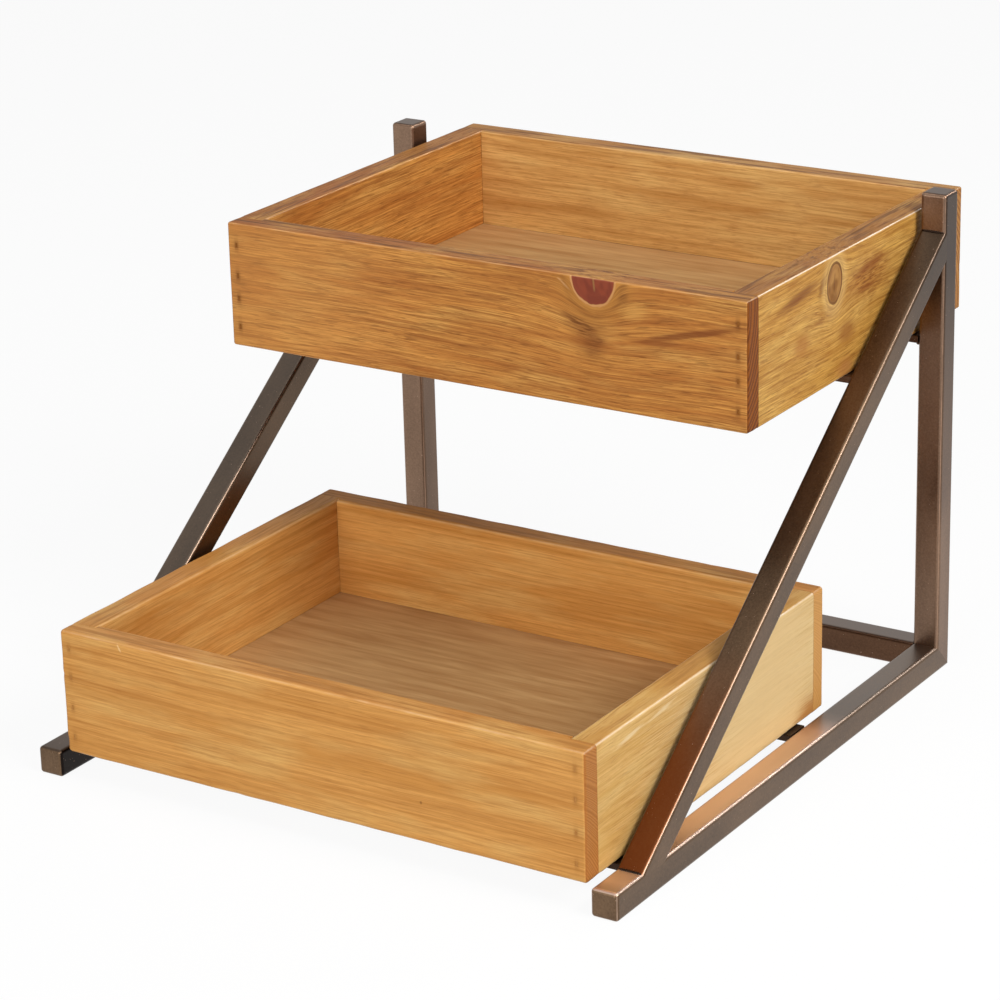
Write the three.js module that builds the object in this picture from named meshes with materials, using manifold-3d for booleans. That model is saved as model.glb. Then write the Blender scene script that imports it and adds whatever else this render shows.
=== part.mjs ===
// A two-tier display stand: two loose pine boxes on a welded frame of square steel tube.
// Lengths are in millimetres. X runs to the right, Y to the back, Z up, and the rails stand on z = 0.
import * as THREE from 'three';
import { RoundedBoxGeometry } from 'three/addons/geometries/RoundedBoxGeometry.js';
import { mergeVertices } from 'three/addons/utils/BufferGeometryUtils.js';
import Module from 'manifold-3d';

const wasm = await Module();
wasm.setup();

// Boxes: four boards, rebated and nailed at the corners, round a floor panel that sits in a groove
const boxWidth = 400;
const boxDepth = 308;
const boxHeight = 87;
const boardThickness = 19;
const boardEdgeRadius = 1.5;
const floorThickness = 6;
const floorHeight = 10;
const grooveDepth = 5;
const grooveClearance = 0.3;
const rebateDepth = 5;
const rebateClearance = 0.3;

// Nails: flat T-headed finish nails, four to a corner, sunk a little below the face
const nailShank = 1.6;
const nailLength = 38;
const nailTipLength = 3;
const nailHeadHeight = 3.4;
const nailHeadThickness = 1.2;
const nailSetDepth = 0.7;
const nailClearance = 0.1;
const nailInset = 7;
const upperNailShares = [0.16, 0.39, 0.575, 0.82];
const lowerNailShares = [0.14, 0.38, 0.63, 0.86];

// Tube: one square section all over the frame
const tubeSide = 19;
const tubeWall = 1.5;
const tubeCornerRadius = 2.5;
const weldGap = 0.3;

// Side frames: a rail on the ground, an upright at its back end and a sloping leg between them
const sideGap = 4;
const railLength = 459;
const uprightHeight = 345;
const legFootSetback = 31;
const legTopHeight = 319;
const capThickness = 3;
const plugLength = 12;
const plugClearance = 0.3;

// Flat bars that carry the boxes
const barWidth = 20;
const barThickness = 5;
const shelfHeight = 244;
const lowerBackBarInset = 34;

// Where the boxes stand
const lowerBoxSetback = 3;
const upperBoxOverhang = 55;

// Overrun of a cutting tool past the surface that it cuts
const overrun = 2;

// Places along the depth are measured from the front end of the rails
const uprightFront = railLength - tubeSide;
const legAngle = Math.atan2(legTopHeight - tubeSide, uprightFront - legFootSetback);
const legFootLength = tubeSide / Math.sin(legAngle);
const innerWidth = boxWidth + 2 * sideGap;
const sideFrameX = (innerWidth + tubeSide) / 2;
const totalDepth = railLength + upperBoxOverhang;
const sideLength = boxDepth - 2 * boardThickness + 2 * rebateDepth;

const upperPine = new THREE.MeshStandardMaterial({ color: 0xb8783f, roughness: 0.6, metalness: 0 });
const lowerPine = new THREE.MeshStandardMaterial({ color: 0xcc9151, roughness: 0.6, metalness: 0 });
const plywood = new THREE.MeshStandardMaterial({ color: 0xb98d5c, roughness: 0.7, metalness: 0 });
const bronzeFinish = new THREE.MeshStandardMaterial({ color: 0x65493a, roughness: 0.4, metalness: 0.8 });
const nailSteel = new THREE.MeshStandardMaterial({ color: 0x4a3d34, roughness: 0.5, metalness: 0.9 });

// Turns a closed geometry into a solid for cutting and joining
function solidOf(geometry) {
  const bare = geometry.index ? geometry.clone() : geometry;
  bare.deleteAttribute('normal');
  bare.deleteAttribute('uv');
  const merged = mergeVertices(bare);
  return new wasm.Manifold(new wasm.Mesh({
    numProp: 3,
    vertProperties: new Float32Array(merged.attributes.position.array),
    triVerts: new Uint32Array(merged.index.array),
  }));
}

// Turns a solid back into a geometry
function geometryOf(solid) {
  const mesh = solid.getMesh();
  const geometry = new THREE.BufferGeometry();
  geometry.setAttribute('position', new THREE.BufferAttribute(new Float32Array(mesh.vertProperties), 3));
  geometry.setIndex(new THREE.BufferAttribute(new Uint32Array(mesh.triVerts), 1));
  geometry.computeVertexNormals();
  return geometry;
}

function cut(geometry, tools) {
  let solid = solidOf(geometry);
  for (const tool of tools) {
    solid = solid.subtract(solidOf(tool));
  }
  return geometryOf(solid);
}

function namedMesh(name, geometry, material, place) {
  const mesh = new THREE.Mesh(geometry, material.clone());
  mesh.name = name;
  mesh.position.set(...place);
  return mesh;
}

// Outline of a square with round corners, centred on zero
function roundedSquare(path, side, radius) {
  const half = side / 2;
  const flat = half - radius;
  path.moveTo(-flat, -half);
  path.lineTo(flat, -half);
  path.absarc(flat, -flat, radius, -Math.PI / 2, 0);
  path.lineTo(half, flat);
  path.absarc(flat, flat, radius, 0, Math.PI / 2);
  path.lineTo(-flat, half);
  path.absarc(-flat, flat, radius, Math.PI / 2, Math.PI);
  path.lineTo(-half, -flat);
  path.absarc(-flat, -flat, radius, Math.PI, 1.5 * Math.PI);
  return path;
}

// A length of hollow square tube along +Z
function tube(length) {
  const section = roundedSquare(new THREE.Shape(), tubeSide, tubeCornerRadius);
  section.holes.push(roundedSquare(new THREE.Path(), tubeSide - 2 * tubeWall, tubeCornerRadius - tubeWall));
  return new THREE.ExtrudeGeometry(section, { depth: length, bevelEnabled: false, curveSegments: 4 });
}

// A wedge across a side frame, above the mitre line or below it, cut back by half the weld gap
function mitreWedge(keepsRail) {
  const reach = tubeSide + overrun;
  const gap = weldGap * Math.SQRT1_2;
  const wedge = new THREE.Shape();
  if (keepsRail) {
    wedge.moveTo(reach, -reach - gap);
    wedge.lineTo(reach, reach);
    wedge.lineTo(-reach, reach);
    wedge.lineTo(-reach, reach - gap);
  } else {
    wedge.moveTo(-reach, reach + gap);
    wedge.lineTo(-reach, -reach);
    wedge.lineTo(reach, -reach);
    wedge.lineTo(reach, -reach + gap);
  }
  const depth = tubeSide + 2 * overrun;
  const tool = new THREE.ExtrudeGeometry(wedge, { depth, bevelEnabled: false });
  tool.translate(0, 0, -depth / 2);
  // The outline's x and y become the frame's y and z, centred on the corner of the tubes
  tool.rotateY(Math.PI / 2);
  tool.rotateX(Math.PI / 2);
  tool.translate(0, railLength - tubeSide / 2, tubeSide / 2);
  return tool;
}

function railGeometry() {
  const rail = tube(railLength - capThickness);
  rail.rotateX(-Math.PI / 2);
  rail.translate(0, capThickness, tubeSide / 2);
  return cut(rail, [mitreWedge(true)]);
}

function uprightGeometry() {
  const upright = tube(uprightHeight - capThickness);
  upright.translate(0, railLength - tubeSide / 2, 0);
  return cut(upright, [mitreWedge(false)]);
}

// The leg runs between the top of the rail and the front of the upright, a weld gap short of each
function legGeometry() {
  const run = uprightFront - legFootSetback;
  const rise = legTopHeight - tubeSide;
  const length = Math.hypot(run, rise) + 2 * legFootLength;
  const leg = tube(length);
  leg.translate(0, 0, -legFootLength);
  leg.rotateX(legAngle - Math.PI / 2);
  leg.translate(0, legFootSetback + legFootLength / 2, tubeSide);
  const width = tubeSide + 2 * overrun;
  const below = new THREE.BoxGeometry(width, length, length);
  below.translate(0, legFootSetback, tubeSide + weldGap - length / 2);
  const behind = new THREE.BoxGeometry(width, length, 2 * length);
  behind.translate(0, uprightFront - weldGap + length / 2, legTopHeight);
  return cut(leg, [below, behind]);
}

// A tube's end cap: a plate with round edges, outer face up, and a plug below it inside the tube
function capGeometry() {
  const plate = new RoundedBoxGeometry(tubeSide, tubeSide, 2 * capThickness, 3, tubeCornerRadius);
  const lower = new THREE.BoxGeometry(tubeSide + overrun, tubeSide + overrun, capThickness + overrun);
  lower.translate(0, 0, -(capThickness + overrun) / 2);
  const plugSide = tubeSide - 2 * tubeWall - 2 * plugClearance;
  const plug = new THREE.BoxGeometry(plugSide, plugSide, plugLength);
  const plugChamfer = tubeCornerRadius - tubeWall;
  plug.translate(0, 0, -plugLength / 2);
  let solid = solidOf(plate).subtract(solidOf(lower)).add(solidOf(plug));
  for (let corner = 0; corner < 4; corner += 1) {
    const edge = new THREE.BoxGeometry(plugChamfer, plugChamfer, plugLength);
    edge.translate(0, 0, -plugLength / 2);
    edge.rotateZ(Math.PI / 4);
    const out = (plugSide * Math.SQRT2) / 2;
    edge.translate(out, 0, 0);
    edge.rotateZ(Math.PI / 4 + (corner * Math.PI) / 2);
    solid = solid.subtract(solidOf(edge));
  }
  return geometryOf(solid);
}

function sideFrame(side, sign) {
  const frame = new THREE.Group();
  frame.position.x = sign * sideFrameX;
  frame.add(namedMesh(`${side}_base_rail`, railGeometry(), bronzeFinish, [0, 0, 0]));
  frame.add(namedMesh(`${side}_upright`, uprightGeometry(), bronzeFinish, [0, 0, 0]));
  frame.add(namedMesh(`${side}_sloping_leg`, legGeometry(), bronzeFinish, [0, 0, 0]));
  const railCapPlace = [0, capThickness, tubeSide / 2];
  const railCap = namedMesh(`${side}_rail_cap`, capGeometry(), bronzeFinish, railCapPlace);
  railCap.rotation.x = Math.PI / 2;
  const capPlace = [0, railLength - tubeSide / 2, uprightHeight - capThickness];
  frame.add(railCap, namedMesh(`${side}_upright_cap`, capGeometry(), bronzeFinish, capPlace));
  return frame;
}

// A cross tube between the feet of the two uprights
function rearCrossTube() {
  const cross = tube(innerWidth);
  cross.rotateY(Math.PI / 2);
  const place = [-innerWidth / 2, railLength - tubeSide / 2, tubeSide / 2];
  return namedMesh('rear_cross_tube', cross, bronzeFinish, place);
}

// A flat bar between the side frames, given by its middle along the depth and its top
function supportBar(name, middle, top) {
  const bar = new THREE.BoxGeometry(innerWidth, barWidth, barThickness);
  return namedMesh(name, bar, bronzeFinish, [0, middle, top - barThickness / 2]);
}

function supportBars() {
  const legMiddleAt = (height) =>
    legFootSetback + legFootLength / 2 + (height - tubeSide) / Math.tan(legAngle);
  const lowerBackBarMiddle = lowerBoxSetback + boxDepth - lowerBackBarInset - barWidth / 2;
  const upperFrontBarMiddle = legMiddleAt(shelfHeight - barThickness / 2);
  return [
    supportBar('lower_front_bar', legMiddleAt(tubeSide), tubeSide),
    supportBar('lower_back_bar', lowerBackBarMiddle, tubeSide),
    supportBar('upper_front_bar', upperFrontBarMiddle, shelfHeight),
    supportBar('upper_back_bar', uprightFront + barWidth / 2, shelfHeight),
  ];
}

// A nail in profile, head at zero and tip towards +x, grown by a clearance, its head run out by a reach
function nailOutline(clearance, reach) {
  const head = nailHeadHeight / 2 + clearance;
  const shank = nailShank / 2 + clearance;
  const neck = nailHeadThickness;
  const shoulder = nailLength - nailTipLength;
  const outline = new THREE.Shape();
  outline.moveTo(-reach, -head);
  outline.lineTo(neck, -head);
  outline.lineTo(neck, -shank);
  outline.lineTo(shoulder, -shank);
  outline.lineTo(nailLength + clearance, 0);
  outline.lineTo(shoulder, shank);
  outline.lineTo(neck, shank);
  outline.lineTo(neck, head);
  outline.lineTo(-reach, head);
  return outline;
}

// A nail, or the hole for it, along +y for a front corner and along -y for a back one
function nailGeometry(clearance, reach, inwards) {
  const depth = nailShank + 2 * clearance;
  const nail = new THREE.ExtrudeGeometry(nailOutline(clearance, reach), { depth, bevelEnabled: false });
  nail.translate(0, 0, -depth / 2);
  // The outline's x and y become y and z
  nail.rotateY(Math.PI / 2);
  nail.rotateX(Math.PI / 2);
  if (inwards < 0) {
    nail.rotateZ(Math.PI);
  }
  return nail;
}

// Places of a box's nails, measured from the middle of the box's underside
function nailPlaces(shares) {
  const places = [];
  for (const [end, inwards] of [['front', 1], ['back', -1]]) {
    for (const [side, sign] of [['left', -1], ['right', 1]]) {
      shares.forEach((share, index) => {
        const x = sign * (boxWidth / 2 - nailInset);
        const y = inwards * (nailSetDepth - boxDepth / 2);
        places.push({ name: `${end}_${side}_nail_${index + 1}`, inwards, at: [x, y, share * boxHeight] });
      });
    }
  }
  return places;
}

// The floor panel's seat: a pocket as wide as the panel in its grooves, with play above and round it
function floorPocket() {
  const width = boxWidth - 2 * boardThickness + 2 * grooveDepth;
  const depth = boxDepth - 2 * boardThickness + 2 * grooveDepth;
  const height = floorThickness + grooveClearance;
  const pocket = new THREE.BoxGeometry(width, depth, height);
  pocket.translate(0, 0, floorHeight + height / 2);
  return pocket;
}

// The steps in the front and back boards' ends that the side boards' ends fill
function cornerRebates() {
  const width = boardThickness + rebateClearance + overrun;
  const depth = rebateDepth + overrun;
  const x = boxWidth / 2 + overrun - width / 2;
  const y = sideLength / 2 - depth / 2;
  const rebates = [];
  for (const signX of [-1, 1]) {
    for (const signY of [-1, 1]) {
      const rebate = new THREE.BoxGeometry(width, depth, boxHeight + 2 * overrun);
      rebates.push(rebate.translate(signX * x, signY * y, boxHeight / 2));
    }
  }
  return rebates;
}

// A board of a box about its own middle, less what the floor, the nails and its neighbours take out of it
function board(name, geometry, material, place, boxTools) {
  const ownTools = boxTools.map((tool) => tool.clone().translate(-place[0], -place[1], -place[2]));
  return namedMesh(name, cut(geometry, ownTools), material, place);
}

function openBox(prefix, material, shares) {
  const box = new THREE.Group();
  const places = nailPlaces(shares);
  const tools = [floorPocket()];
  for (const { inwards, at } of places) {
    tools.push(nailGeometry(nailClearance, nailSetDepth + overrun, inwards).translate(...at));
  }
  const endTools = [...tools, ...cornerRebates()];
  const endY = (boxDepth - boardThickness) / 2;
  const sideX = (boxWidth - boardThickness) / 2;
  const end = new RoundedBoxGeometry(boxWidth, boardThickness, boxHeight, 2, boardEdgeRadius);
  const sideSection = new THREE.Shape();
  const half = { x: boardThickness / 2 - boardEdgeRadius, y: boxHeight / 2 - boardEdgeRadius };
  sideSection.absarc(half.x, half.y, boardEdgeRadius, 0, Math.PI / 2);
  sideSection.absarc(-half.x, half.y, boardEdgeRadius, Math.PI / 2, Math.PI);
  sideSection.absarc(-half.x, -half.y, boardEdgeRadius, Math.PI, 1.5 * Math.PI);
  sideSection.absarc(half.x, -half.y, boardEdgeRadius, 1.5 * Math.PI, 2 * Math.PI);
  const run = { depth: sideLength, bevelEnabled: false, curveSegments: 3 };
  const side = new THREE.ExtrudeGeometry(sideSection, run);
  side.translate(0, 0, -sideLength / 2);
  side.rotateX(-Math.PI / 2);
  const middle = boxHeight / 2;
  box.add(board(`${prefix}_front_board`, end, material, [0, -endY, middle], endTools));
  box.add(board(`${prefix}_back_board`, end, material, [0, endY, middle], endTools));
  box.add(board(`${prefix}_left_board`, side, material, [-sideX, 0, middle], tools));
  box.add(board(`${prefix}_right_board`, side, material, [sideX, 0, middle], tools));

  const panelWidth = boxWidth - 2 * boardThickness + 2 * (grooveDepth - grooveClearance);
  const panelDepth = boxDepth - 2 * boardThickness + 2 * (grooveDepth - grooveClearance);
  const panel = new THREE.BoxGeometry(panelWidth, panelDepth, floorThickness);
  box.add(namedMesh(`${prefix}_floor`, panel, plywood, [0, 0, floorHeight + floorThickness / 2]));

  for (const { name, inwards, at } of places) {
    box.add(namedMesh(`${prefix}_${name}`, nailGeometry(0, 0, inwards), nailSteel, at));
  }
  return box;
}

function displayStand() {
  const stand = new THREE.Group();
  stand.name = 'tiered_display_stand';
  const layout = new THREE.Group();
  layout.position.y = -totalDepth / 2;
  layout.add(sideFrame('left', -1), sideFrame('right', 1), rearCrossTube(), ...supportBars());

  const lowerBox = openBox('lower', lowerPine, lowerNailShares);
  lowerBox.position.set(0, lowerBoxSetback + boxDepth / 2, tubeSide);
  const upperBox = openBox('upper', upperPine, upperNailShares);
  upperBox.position.set(0, totalDepth - boxDepth / 2, shelfHeight);
  layout.add(lowerBox, upperBox);

  stand.add(layout);
  stand.updateMatrixWorld(true);
  return stand;
}

export default displayStand();
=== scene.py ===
import math
from functools import partial

import bpy
import numpy as np
from mathutils import Matrix, Vector


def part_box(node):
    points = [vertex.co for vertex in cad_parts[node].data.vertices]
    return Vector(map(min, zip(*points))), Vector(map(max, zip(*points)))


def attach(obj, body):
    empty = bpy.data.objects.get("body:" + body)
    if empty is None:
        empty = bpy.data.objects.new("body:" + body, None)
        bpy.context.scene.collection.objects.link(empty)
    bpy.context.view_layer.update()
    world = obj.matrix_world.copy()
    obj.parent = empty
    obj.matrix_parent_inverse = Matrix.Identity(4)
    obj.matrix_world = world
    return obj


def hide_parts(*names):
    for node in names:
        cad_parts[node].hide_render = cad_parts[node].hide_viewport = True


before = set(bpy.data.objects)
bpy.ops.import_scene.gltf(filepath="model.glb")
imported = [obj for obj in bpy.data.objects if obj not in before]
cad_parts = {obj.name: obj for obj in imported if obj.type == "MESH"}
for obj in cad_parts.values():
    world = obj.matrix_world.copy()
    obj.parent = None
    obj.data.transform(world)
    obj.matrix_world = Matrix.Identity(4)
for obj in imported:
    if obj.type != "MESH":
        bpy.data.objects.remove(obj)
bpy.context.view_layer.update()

mm = 0.001
toMillimetres = (1000, 1000, 1000)  # scale of a Mapping node that is given metres
through = 1e6  # scale that lets a spot of colour go right through a board
sharpAngle = 38  # degrees between two faces, above which their edge stays crisp


def hexColour(code):
    # sRGB hex to linear: below 0.04045 divide by 12.92, above it raise (c + 0.055) / 1.055 to 2.4
    parts = [int(code[i:i + 2], 16) / 255 for i in (1, 3, 5)]
    return [p / 12.92 if p <= 0.04045 else ((p + 0.055) / 1.055) ** 2.4 for p in parts] + [1.0]


def addNode(tree, kind, inputs=(), out=0, stops=(), **settings):
    # Adds one node, sets it up, links or fills its inputs, and hands back one of its outputs. The kind may be
    # followed by an operation. A list fills the inputs in order: a map range takes value, from, to, low, high.
    kind, *operation = kind.split()
    node = tree.nodes.new("ShaderNode" + kind)
    for key, value in list(settings.items()) + [("operation", o) for o in operation]:
        setattr(node, key, value)
    if stops:
        ramp = node.color_ramp
        while len(ramp.elements) < len(stops):
            ramp.elements.new(0.5)
        for element, (place, grey) in zip(ramp.elements, stops):
            element.position = place
            element.color = (grey, grey, grey, 1)
    for key, value in inputs.items() if isinstance(inputs, dict) else enumerate(inputs):
        if isinstance(value, bpy.types.NodeSocket):
            tree.links.new(value, node.inputs[key])
        else:
            node.inputs[key].default_value = value
    return node.outputs[out] if node.outputs else None


def addField(node, place, offset, lengths, detail, roughness, low, high):
    # Noise stretched to lengths in millimetres; its values from low to high become 0 to 1
    spread = node("Mapping", {"Vector": place, "Location": offset, "Scale": [1 / v for v in lengths]})
    value = node("TexNoise", {"Vector": spread, "Scale": 1, "Detail": detail, "Roughness": roughness})
    return node("MapRange", [value, low, high])


def newMaterial(name):
    material = bpy.data.materials.new(name)
    material.use_nodes = True
    material.node_tree.nodes.clear()
    return material, partial(addNode, material.node_tree)


def stackColours(node, colour, layers):
    # Lays each layer's colour over what is under it, by its mask times its share
    for mask, share, tint in layers:
        amount = node("Math MULTIPLY", [mask, share])
        colour = node("Mix", {0: amount, 6: colour, 7: hexColour(tint)}, out=2, data_type="RGBA")
    return colour


def finishMaterial(material, node, height, strength, depth, inputs):
    # One Principled surface, raised and sunk by height times depth, which is in metres
    bump = node("Bump", {"Height": height, "Strength": strength, "Distance": depth})
    node("OutputMaterial", {"Surface": node("BsdfPrincipled", dict(inputs, Normal=bump), out="BSDF")})
    return material


def boxOf(node):
    low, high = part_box(node)
    return np.array(low) / mm, np.array(high) / mm


def wave(points, seed, length, count=5, swing=1.6):
    # A smooth wander from about -1 to 1: swing times the mean of sines, with directions and phases from the
    # seed
    rng = np.random.default_rng(seed)
    ways = rng.normal(size=(count, 3)) * 2 * math.pi / length
    return np.sin(points @ ways.T + rng.uniform(0, 2 * math.pi, count)).mean(1) * swing


def addObject(name, data):
    made = bpy.data.objects.new(name, data)
    bpy.context.scene.collection.objects.link(made)
    return made


def putPiece(name, points, faces, body, material, nodes=(), marks=None):
    mesh = bpy.data.meshes.new(name)
    mesh.from_pydata((points * mm).tolist(), [], faces.tolist() if isinstance(faces, np.ndarray) else faces)
    for key, values in (marks or {}).items():
        mesh.attributes.new(key, "FLOAT", "POINT").data.foreach_set("value", values.astype(np.float32))
    mesh.polygons.foreach_set("use_smooth", np.ones(len(mesh.polygons), bool))
    mesh.set_sharp_from_angle(angle=math.radians(sharpAngle))
    mesh.materials.append(material)
    piece = addObject(name, mesh)
    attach(piece, body)
    if nodes:
        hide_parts(*nodes)


# Grids in millimetres: lines of support beside round edges, the least gap between two lines, the decimals of a
# line's place, and how near the skin a point counts as on it, in radii
grid = dict(support=0.4, tubeSupport=0.35, leastGap=0.02, places=4, onSkin=1e-4)
dents = dict(count=14, deep=3, spread=(2, 9), wander=70)  # number, depth, squared widths, slow wander


def stationsAlong(low, high, lowRadius, highRadius, steps, cuts, spacing):
    # Places of grid lines on one side: arcs at 1 - tan(0 to 45 degrees) of the radius, a line of support by
    # each arc, edges of cuts, even steps between. A line too near the one before it is left out.
    arc = 1 - np.tan(np.linspace(0, math.pi / 4, steps + 1))
    support = [low + lowRadius + grid["support"], high - highRadius - grid["support"]]
    fixed = np.concatenate([low + lowRadius * arc, high - highRadius * arc, support, cuts])
    fixed = np.unique(np.round(fixed[(fixed >= low) & (fixed <= high)], grid["places"]))
    fixed = fixed[np.concatenate([[True], np.diff(fixed) > grid["leastGap"]])]
    runs = [np.linspace(a, b, max(2, math.ceil((b - a) / spacing) + 1))[:-1]
            for a, b in zip(fixed, fixed[1:])]
    return np.concatenate(runs + [[high]])


def slabSurface(low, high, radii, cuts=(), steps=3, spacing=6.0, wear=0.0, seed=1, grain=0,
                extra=((), (), ())):
    # A slab is a grid of cells less the cells inside its cuts; its skin is every face between a cell and none.
    # Round edges: past the inner box a point's offset d, counted in radii, becomes d * max|d| / length of d.
    radii = np.broadcast_to(np.array(radii, float), (2, 3))
    edges = [[edge for cut in cuts for edge in (cut[0][i], cut[1][i])] + list(extra[i]) for i in range(3)]
    lines = [stationsAlong(low[i], high[i], radii[0, i], radii[1, i], steps, edges[i], spacing)
             for i in range(3)]
    middles = [(line[1:] + line[:-1]) / 2 for line in lines]
    keep = np.ones([len(m) for m in middles], bool)
    for cutLow, cutHigh in cuts:
        inside = [(m > a) & (m < b) for m, a, b in zip(middles, cutLow, cutHigh)]
        keep &= ~(inside[0][:, None, None] & inside[1][None, :, None] & inside[2][None, None, :])
    padded = np.pad(keep, 1)
    quads = []
    for axis in range(3):
        for step in (-1, 1):
            bare = keep & ~np.roll(padded, -step, axis)[1:-1, 1:-1, 1:-1]
            cells = np.argwhere(bare)
            corners = np.repeat(cells[:, None, :], 4, 1)
            corners[:, :, axis] += (step + 1) // 2
            corners[:, :, (axis + 1) % 3] += np.array([0, 1, 1, 0])
            corners[:, :, (axis + 2) % 3] += np.array([0, 0, 1, 1])
            quads.append(corners[:, ::step])
    corners = np.concatenate(quads).reshape(-1, 3)
    counts = [len(line) for line in lines]
    keys, faces = np.unique(np.ravel_multi_index(corners.T, counts), return_inverse=True)
    q = np.stack([line[i] for line, i in zip(lines, np.unravel_index(keys, counts))], 1)
    growth = 1 + wear * wave(q, seed, dents["wander"])[:, None]
    if wear:
        rng = np.random.default_rng(seed)
        for spot in rng.uniform(low, high, (dents["count"], 3)):
            pair = rng.permutation(3)[:2]
            spot[pair] = np.where(rng.random(2) < 0.5, low[pair], high[pair])
            squared = ((q - spot) ** 2).sum(1)
            growth += dents["deep"] * wear * np.exp(-squared / rng.uniform(*dents["spread"]))[:, None]
    near, far = radii[0] * growth, radii[1] * growth
    inner = np.clip(q, low + near, high - far)
    reach = np.where(q < inner, near, far)
    d = (q - inner) / reach
    size, most = np.linalg.norm(d, axis=1), np.abs(d).max(1)
    ratio = np.where(size > 0, most / np.maximum(size, 1e-9), 1)[:, None]
    onSkin = np.abs(most - 1) < grid["onSkin"]
    normal = d / np.maximum(size, 1e-9)[:, None]
    # Marks on the skin: arris is the second largest |d|, endGrain and rim are the squared normal along the
    # grain and upwards
    marks = {"arris": np.where(onSkin, np.sort(np.abs(d), 1)[:, 1], 0),
             "endGrain": np.where(onSkin, normal[:, grain] ** 2, 0),
             "rim": np.where(onSkin & (normal[:, 2] > 0), normal[:, 2] ** 2, 0)}
    return inner + reach * d * ratio, faces.reshape(-1, 4), marks


# Frame: cold-drawn square tube, cut and welded, joints ground flush on the side faces. Skin is how far from a
# flat face a point still counts as on it.
tubes = dict(side=19.0, wall=1.5, radius=2.5, cap=3.0, plugPlay=0.3, plugRadius=0.1, weldDepth=2.5,
             stations=40, capSteps=4, capSpacing=3.0, skin=0.8)
# Weld beads; tips and body are shares of the length, and start is any line that no bead runs along
beads = dict(ripple=0.12, pitch=1.7, wander=6, blunt=10, around=12, perMillimetre=3, least=9,
             tips=(0.002, 0.01, 0.03), body=(0.06, 0.94), start=(0.31, 0.55, 0.77))


def roundSquare(side, radius, steps=6):
    # Outline of a square whose corners are radius * (cos, sin), with a line of support inside each flat side
    angles = np.linspace(0, math.pi / 2, steps + 1)
    arc = np.stack([np.cos(angles), np.sin(angles)], 1) * radius + side / 2 - radius
    lead = np.array([[side / 2, side / 2 - radius - grid["tubeSupport"]]])
    corner = np.concatenate([lead, arc, lead[:, ::-1]])
    shade = np.concatenate([[0], np.sin(2 * angles), [0]])
    turns = [np.array([[math.cos(a), math.sin(a)], [-math.sin(a), math.cos(a)]])
             for a in np.arange(4) * math.pi / 2]
    return np.concatenate([corner @ turn for turn in turns]), np.tile(shade, 4)


def tubeSurface(start, end, across, startNormal, endNormal):
    # Hollow tube: the outline slides along a straight line, and each of its points runs from where its own
    # line meets the plane through the start to where it meets the one through the end; then back in the bore.
    start, end, across = (np.array(v, float) for v in (start, end, across))
    way = (end - start) / np.linalg.norm(end - start)
    up = np.cross(way, across)
    wall, count = tubes["wall"], tubes["stations"]
    outer, shade = roundSquare(tubes["side"], tubes["radius"])
    bore, plain = roundSquare(tubes["side"] - 2 * wall, tubes["radius"] - wall)
    rows, arris = [], []
    for outline, shades, order in ((outer, shade, 1), (bore, plain * 0, -1)):
        foot = start + outline[:, :1] * across + outline[:, 1:] * up
        first = ((start - foot) @ startNormal) / (way @ startNormal)
        last = ((end - foot) @ endNormal) / (way @ endNormal)
        share = np.linspace(0, 1, count)[::order, None]
        reach = first + share * (last - first)
        rows.append(foot[None] + reach[..., None] * way)
        arris.append(np.tile(shades, (count, 1)))
    return gridFaces(np.concatenate(rows), True) + ({"arris": np.concatenate(arris).ravel()},)


def gridFaces(rows, closedRows):
    # Quads of a grid whose columns close on themselves, turned so that the volume they hold is positive
    high, wide = rows.shape[:2]
    index = np.arange(high * wide).reshape(high, wide)
    nextRow = np.roll(index, -1, 0) if closedRows else index[1:]
    index = index if closedRows else index[:-1]
    faces = np.stack([index, np.roll(index, -1, 1), np.roll(nextRow, -1, 1), nextRow], -1).reshape(-1, 4)
    points = rows.reshape(-1, 3)
    a, b, c, d = (points[faces[:, i]] - points.mean(0) for i in range(4))
    volume = (np.einsum("ij,ij->i", a, np.cross(b, c)) + np.einsum("ij,ij->i", a, np.cross(c, d))).sum()
    return points, faces if volume > 0 else faces[:, ::-1]


def beadSurface(start, end, radius, seed):
    # A weld bead: circles along a line, radius * (1 + ripple * sine of the length / pitch), closing at both
    # ends with the root of 1 - u to the power blunt, where u runs from -1 to 1
    start, end = np.array(start, float), np.array(end, float)
    length = np.linalg.norm(end - start)
    way = (end - start) / length
    side = np.cross(way, beads["start"])
    side /= np.linalg.norm(side)
    up = np.cross(way, side)
    tips = np.array(beads["tips"])
    body = np.linspace(*beads["body"], max(beads["least"], int(length * beads["perMillimetre"])))
    share = np.concatenate([tips, body, 1 - tips[::-1]])
    ripple = np.sin(2 * math.pi * share * length / beads["pitch"])
    swell = 1 + beads["ripple"] * (ripple + wave(share[:, None] * [length, 0, 0], seed, beads["wander"]))
    close = np.sqrt(np.clip(1 - (2 * share - 1) ** beads["blunt"], 0, 1))
    around = beads["around"]
    angle = np.linspace(0, 2 * math.pi, around + 1)[:-1]
    circle = np.cos(angle)[:, None] * side + np.sin(angle)[:, None] * up
    rows = start + (share * length)[:, None, None] * way
    points, faces = gridFaces(rows + (radius * swell * close)[:, None, None] * circle[None], False)
    ends = [list(range(around)), list(range(len(points) - around, len(points)))]
    turned = np.cross(points[1] - points[0], points[2] - points[1]) @ way > 0
    ends[0 if turned else 1].reverse()
    return points, faces.tolist() + ends, {"arris": np.zeros(len(points))}


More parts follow.
